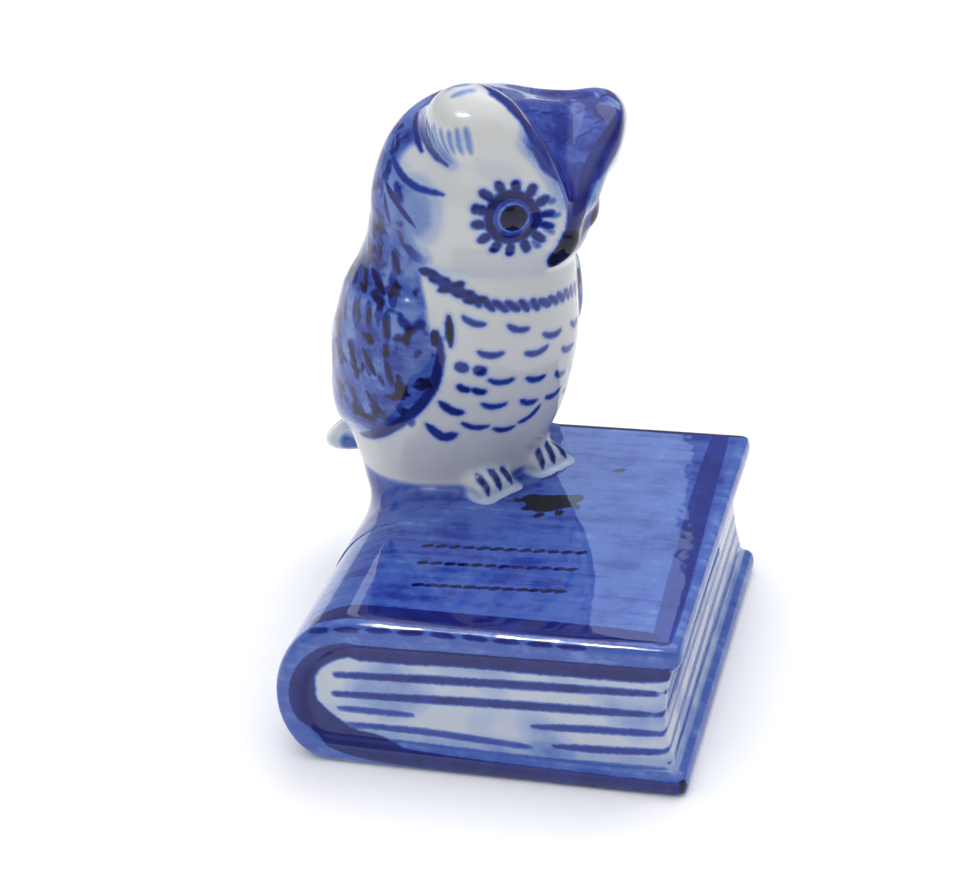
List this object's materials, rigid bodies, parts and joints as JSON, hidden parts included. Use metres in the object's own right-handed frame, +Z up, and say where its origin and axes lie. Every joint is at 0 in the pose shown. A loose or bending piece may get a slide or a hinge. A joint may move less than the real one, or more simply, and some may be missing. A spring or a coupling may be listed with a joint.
{
  "type": "owl figurine",
  "caption": "Small blue-and-white glazed porcelain owl perched on a thick closed book, hollow cast, with ear tufts, folded wings, a tail and two feet.",
  "frame": {"origin": "middle of the book's underside", "axes": "+Z up; +X from the book's spine to its fore-edge; +Y from the book's near end to its far end; the owl faces 32.5 degrees from +X towards -Y"},
  "size_m": [0.047, 0.049, 0.0603],
  "materials": {
    "book_glaze": "gloss",
    "page_glaze": "gloss",
    "owl_glaze": "gloss",
    "feather_glaze": "gloss",
    "ink_glaze": "gloss"
  },
  "bodies": {
    "root": {"book_cover": "book_glaze", "page_block": "page_glaze", "owl_body": "owl_glaze", "owl_head": "owl_glaze", "right_wing": "feather_glaze", "left_wing": "feather_glaze", "right_brow": "feather_glaze", "left_brow": "feather_glaze", "beak": "ink_glaze", "tail": "owl_glaze", "right_foot": "owl_glaze", "left_foot": "owl_glaze"}
  },
  "joints": []
}
